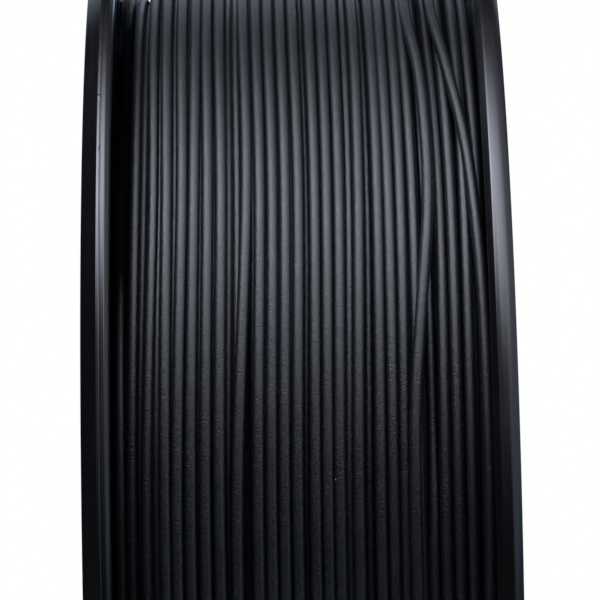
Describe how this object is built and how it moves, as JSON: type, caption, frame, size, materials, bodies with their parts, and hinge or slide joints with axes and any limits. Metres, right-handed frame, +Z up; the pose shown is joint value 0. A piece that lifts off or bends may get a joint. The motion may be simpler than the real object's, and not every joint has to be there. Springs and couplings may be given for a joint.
{
  "type": "filament spool",
  "caption": "Moulded spool with flanges snapped onto a ribbed barrel, wound with round plastic filament and open through its bore.",
  "frame": {"origin": "centre of the bore, midway between the flanges' outer faces", "axes": "+X along the spool's axis towards the right flange, +Z up, -Y towards the side that the picture shows"},
  "size_m": [0.0614, 0.2, 0.2],
  "materials": {
    "flange_plastic": "black moulded plastic, glossy",
    "barrel_plastic": "black moulded plastic, semi-gloss",
    "filament": "matte blue-black filament with a fine speckle",
    "label_paper": "plain off-white paper, blank"
  },
  "bodies": {
    "root": {"left_flange": "flange_plastic", "right_flange": "flange_plastic", "barrel": "barrel_plastic", "left_label": "label_paper", "right_label": "label_paper", "filament_bulk": "filament", "filament_outer_turns": "filament", "filament_start": "filament"}
  },
  "joints": []
}
